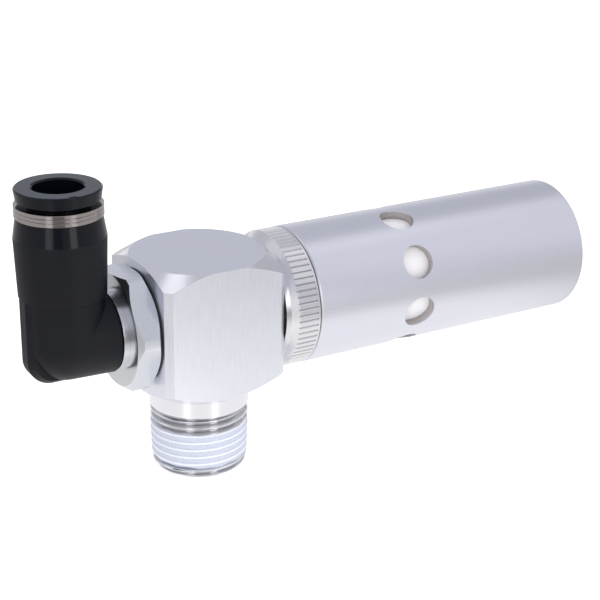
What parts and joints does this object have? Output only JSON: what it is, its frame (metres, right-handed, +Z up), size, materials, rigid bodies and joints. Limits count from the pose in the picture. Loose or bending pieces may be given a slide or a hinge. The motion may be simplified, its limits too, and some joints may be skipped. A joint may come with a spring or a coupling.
{
  "type": "vacuum ejector",
  "caption": "Air-driven vacuum ejector: square block on a taper-threaded vacuum spigot, swivelling push-in supply elbow and tubular silencer.",
  "frame": {"origin": "centre of the vacuum thread's gauge plane, 6.35 mm above the thread's end", "axes": "+Z up the vacuum spigot through the block, +X along the ejector axis towards the silencer"},
  "size_m": [0.105, 0.024, 0.0529],
  "materials": {
    "block_aluminium": "machined satin, fine upright grain",
    "case_aluminium": "turned satin",
    "stem_metal": "satin flats, polished neck",
    "adapter_metal": "satin, straight knurl",
    "thread_sealant": "matt white coating",
    "elbow_plastic": "moulded, half matt, glossier at the mouth",
    "release_plastic": "moulded, half matt, blue-black",
    "guide_nickel": "bright nickel plate on brass",
    "claw_steel": "stamped stainless steel",
    "nozzle_brass": "turned brass",
    "seal_rubber": "matt black nitrile",
    "element_white": "white porous felt"
  },
  "bodies": {
    "ejector": {"body_block": "block_aluminium", "thread_sealant": "thread_sealant", "hex_stem": "stem_metal", "stem_gasket": "seal_rubber", "stem_o_ring": "seal_rubber", "nozzle": "nozzle_brass", "nozzle_o_ring": "seal_rubber", "diffuser": "nozzle_brass", "diffuser_o_ring": "seal_rubber", "silencer_adapter": "adapter_metal", "adapter_gasket": "seal_rubber", "silencer_element": "element_white", "silencer_case": "case_aluminium"},
    "elbow": {"elbow_body": "elbow_plastic", "tube_seal": "seal_rubber", "lock_claw": "claw_steel", "guide_ring": "guide_nickel"},
    "release": {"release_ring": "release_plastic"}
  },
  "joints": [
    {"name": "elbow_swivel", "type": "hinge", "parent": "ejector", "child": "elbow", "pos_m": [-0.0239, 0, 0.0209], "axis": [1, 0, 0], "continuous": true},
    {"name": "release_press", "type": "slide", "parent": "elbow", "child": "release", "axis": [0, 0, -1], "range_m": [0, 0.0006], "stiffness_N_per_m": 3000}
  ]
}
